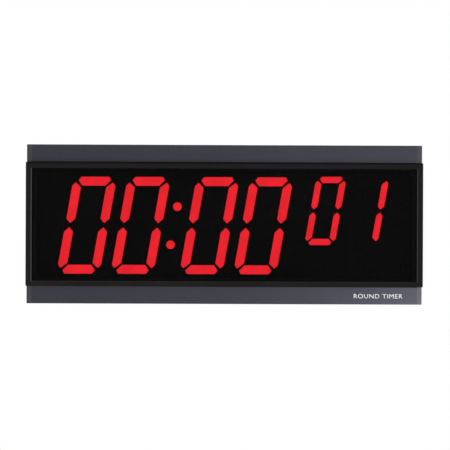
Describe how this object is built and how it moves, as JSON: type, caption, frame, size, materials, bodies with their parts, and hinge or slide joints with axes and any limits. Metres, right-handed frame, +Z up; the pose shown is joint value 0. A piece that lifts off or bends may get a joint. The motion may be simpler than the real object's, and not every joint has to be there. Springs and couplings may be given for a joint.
{
  "type": "interval timer",
  "caption": "Wall-mounted gym interval timer: large red seven-segment digits behind a dark window between slate rails, controls in the underside, case hooks onto a wall plate.",
  "frame": {"origin": "centre of the wall plate's screw pattern, in the plane of the wall", "axes": "+X to the viewer's right along the long side, +Y into the wall so the front faces -Y, +Z up"},
  "size_m": [0.412, 0.0445, 0.165],
  "materials": {
    "rail": "satin anodised, dark slate",
    "end_cap": "moulded, dark slate",
    "bezel": "fine texture, black",
    "lens": "polished smoked acrylic",
    "foam": "black foam",
    "mask": "matt black",
    "reflector": "white moulding",
    "segment": "red diffuser",
    "led": "clear epoxy over chip",
    "board": "green solder mask",
    "chip": "moulded epoxy with tinned legs",
    "capacitor": "shrink sleeve over aluminium can",
    "crystal_can": "drawn steel can",
    "heat_sink": "black anodised fins",
    "connector": "natural nylon",
    "infrared": "infrared-pass epoxy",
    "screw": "zinc plated",
    "cover": "spark-eroded texture, black",
    "bumper": "moulded",
    "plate": "black powder coat",
    "tray": "fine texture, black",
    "button": "dark grey, dished",
    "button_start": "red, dished",
    "spring": "spring wire",
    "switch": "black nylon",
    "rocker": "polished black",
    "nut": "nickel plated",
    "basket": "pressed steel",
    "magnet": "ferrite with steel plates",
    "surround": "moulded",
    "cone": "treated paper",
    "ribbon": "grey flat cable",
    "wire": "insulated wire"
  },
  "bodies": {
    "wall_plate": {"wall_plate": "plate"},
    "case": {"board_connectors": "connector", "bottom_rail": "rail", "capacitors": "capacitor", "case_screws": "screw", "colon_dots": "segment", "colon_light_box": "reflector", "control_board": "board", "control_tray": "tray", "crystal": "crystal_can", "display_board": "board", "display_mask": "mask", "down_spring": "spring", "driver_chips": "chip", "front_bezel": "bezel", "heat_sink": "heat_sink", "inlet_nut": "nut", "inner_screws": "screw", "ir_receiver": "infrared", "led_chips": "led", "left_end_cap": "end_cap", "lens": "lens", "lens_gasket": "foam", "microcontroller": "chip", "minutes_ones_light_box": "reflector", "minutes_ones_segments": "segment", "minutes_tens_light_box": "reflector", "minutes_tens_segments": "segment", "mode_spring": "spring", "power_inlet": "switch", "power_switch_body": "switch", "rear_cover": "cover", "ribbon_cable": "ribbon", "right_end_cap": "end_cap", "round_ones_light_box": "reflector", "round_ones_segments": "segment", "round_tens_light_box": "reflector", "round_tens_segments": "segment", "seconds_ones_light_box": "reflector", "seconds_ones_segments": "segment", "seconds_tens_light_box": "reflector", "seconds_tens_segments": "segment", "speaker_basket": "basket", "speaker_magnet": "magnet", "speaker_surround": "surround", "start_spring": "spring", "switch_housings": "switch", "top_rail": "rail", "up_spring": "spring", "voltage_regulator": "chip", "volume_switch_body": "switch", "wall_bumpers": "bumper", "wire_leads": "wire"},
    "mode_button": {"mode_button": "button"},
    "up_button": {"up_button": "button"},
    "down_button": {"down_button": "button"},
    "start_button": {"start_button": "button_start"},
    "volume_slider": {"volume_slider": "rocker"},
    "power_rocker": {"power_rocker": "rocker"},
    "speaker_cone": {"speaker_cone": "cone"}
  },
  "joints": [
    {"name": "lift_off", "type": "slide", "parent": "wall_plate", "child": "case", "axis": [0, 0, 1], "range_m": [0, 0.006]},
    {"name": "mode_press", "type": "slide", "parent": "case", "child": "mode_button", "axis": [0, 0, 1], "range_m": [0, 0.0012], "stiffness_N_per_m": 350, "springref_m": -0.002, "deforming": ["mode_spring"]},
    {"name": "up_press", "type": "slide", "parent": "case", "child": "up_button", "axis": [0, 0, 1], "range_m": [0, 0.0012], "stiffness_N_per_m": 350, "springref_m": -0.002, "deforming": ["up_spring"]},
    {"name": "down_press", "type": "slide", "parent": "case", "child": "down_button", "axis": [0, 0, 1], "range_m": [0, 0.0012], "stiffness_N_per_m": 350, "springref_m": -0.002, "deforming": ["down_spring"]},
    {"name": "start_press", "type": "slide", "parent": "case", "child": "start_button", "axis": [0, 0, 1], "range_m": [0, 0.0012], "stiffness_N_per_m": 350, "springref_m": -0.002, "deforming": ["start_spring"]},
    {"name": "volume_slide", "type": "slide", "parent": "case", "child": "volume_slider", "axis": [1, 0, 0], "range_m": [-0.002, 0.002]},
    {"name": "power_rock", "type": "hinge", "parent": "case", "child": "power_rocker", "pos_m": [0.14, -0.02375, -0.0765], "axis": [0, 1, 0], "range_deg": [-18, 0]},
    {"name": "cone_drive", "type": "slide", "parent": "case", "child": "speaker_cone", "axis": [0, 1, 0], "range_m": [-0.0005, 0.0005], "stiffness_N_per_m": 600}
  ]
}
